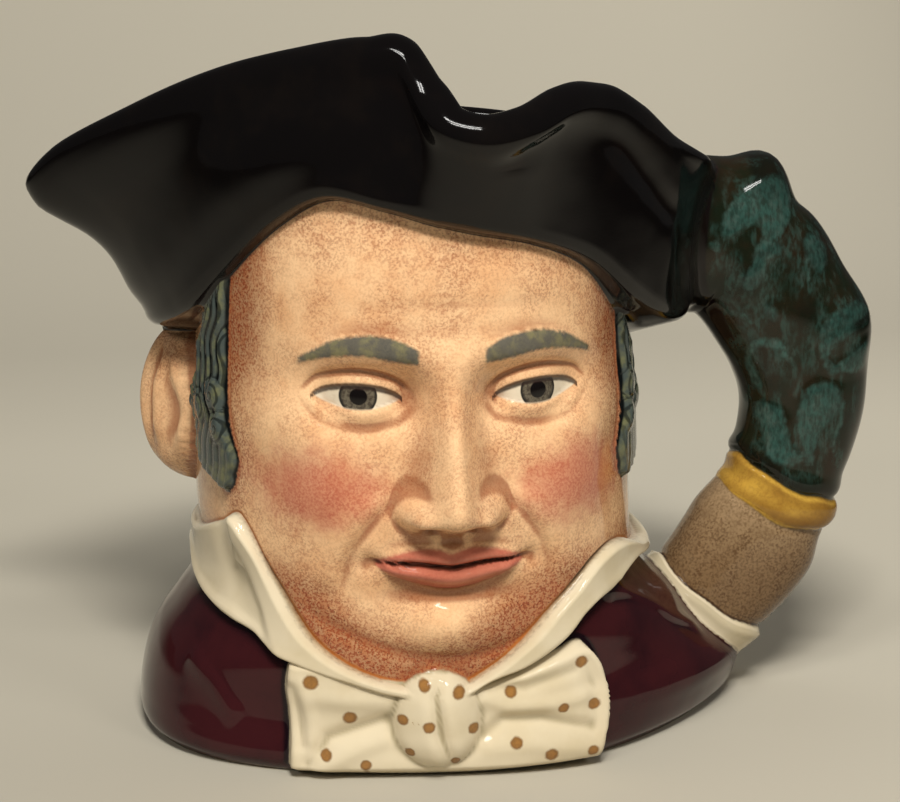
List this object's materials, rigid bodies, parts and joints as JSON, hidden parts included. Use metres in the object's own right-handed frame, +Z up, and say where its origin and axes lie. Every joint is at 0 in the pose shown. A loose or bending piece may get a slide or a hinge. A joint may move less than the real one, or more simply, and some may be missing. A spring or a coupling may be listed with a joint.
{
  "type": "character jug",
  "caption": "Hollow glazed jug shaped as a man's head in a cocked hat, with a collared coat and spotted bow, a pouring lip at the hat's corner and a leafy bough for a handle.",
  "frame": {"origin": "on the table under the middle of the whole jug's box, hat and handle included", "axes": "+Z up, -Y the face's front, +X towards the handle"},
  "size_m": [0.2075, 0.127, 0.1708],
  "materials": {
    "painted_glaze": "hand painted under a glossy clear glaze: black hat, flesh face, cream collar and bow, maroon coat, dark green and brown handle"
  },
  "bodies": {
    "root": {"jug": "painted_glaze"}
  },
  "joints": []
}
